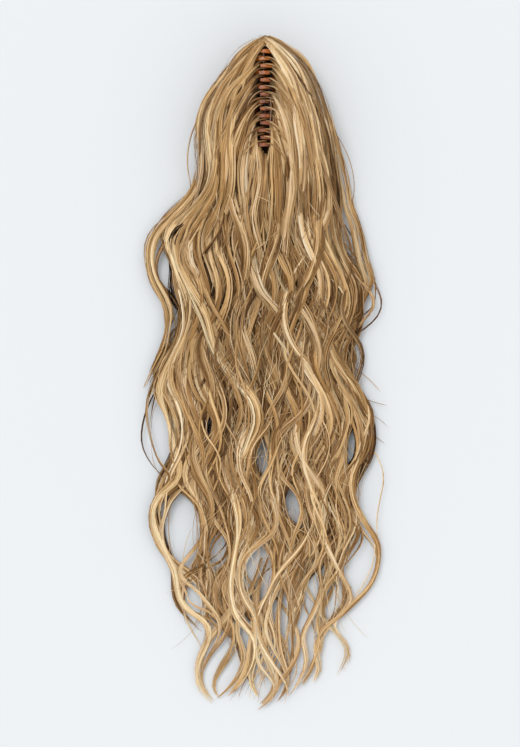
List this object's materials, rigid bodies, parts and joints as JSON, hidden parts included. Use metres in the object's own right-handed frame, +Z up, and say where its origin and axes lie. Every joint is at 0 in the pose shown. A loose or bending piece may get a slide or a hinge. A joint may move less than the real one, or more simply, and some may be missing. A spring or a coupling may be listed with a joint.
{
  "type": "ponytail hairpiece",
  "caption": "Wavy blonde ponytail hairpiece on a sprung claw clip whose two combed jaws interlace along the parting, lying flat with the teeth up.",
  "frame": {"origin": "centre of the part's box on the table that it lies on", "axes": "+Y from the tips of the hair to the crown, +X to the right as seen from above, +Z up from the table, the way the claw's teeth face"},
  "size_m": [0.1955, 0.5814, 0.0583],
  "materials": {
    "amber_plastic": "glossy translucent amber",
    "spring_steel": "plain steel wire",
    "blonde_hair": "silky honey blonde fibre"
  },
  "bodies": {
    "hair": {"tail": "blonde_hair", "hinge_pin": "spring_steel", "hinge_spring": "spring_steel"},
    "left": {"jaw_left": "amber_plastic", "crown_left": "blonde_hair"},
    "right": {"jaw_right": "amber_plastic", "crown_right": "blonde_hair"}
  },
  "joints": [
    {"name": "left_jaw_hinge", "type": "hinge", "parent": "hair", "child": "left", "pos_m": [0, 0.234, 0.021], "axis": [0, -1, 0], "range_deg": [0, 24], "stiffness_Nm_per_rad": 0.15, "springref_deg": -34.38},
    {"name": "right_jaw_hinge", "type": "hinge", "parent": "hair", "child": "right", "pos_m": [0, 0.234, 0.021], "axis": [0, 1, 0], "range_deg": [0, 24], "stiffness_Nm_per_rad": 0.15, "springref_deg": -34.38}
  ],
  "couplings": [
    {"joint": "right_jaw_hinge", "follows": "left_jaw_hinge", "ratio": 1}
  ]
}
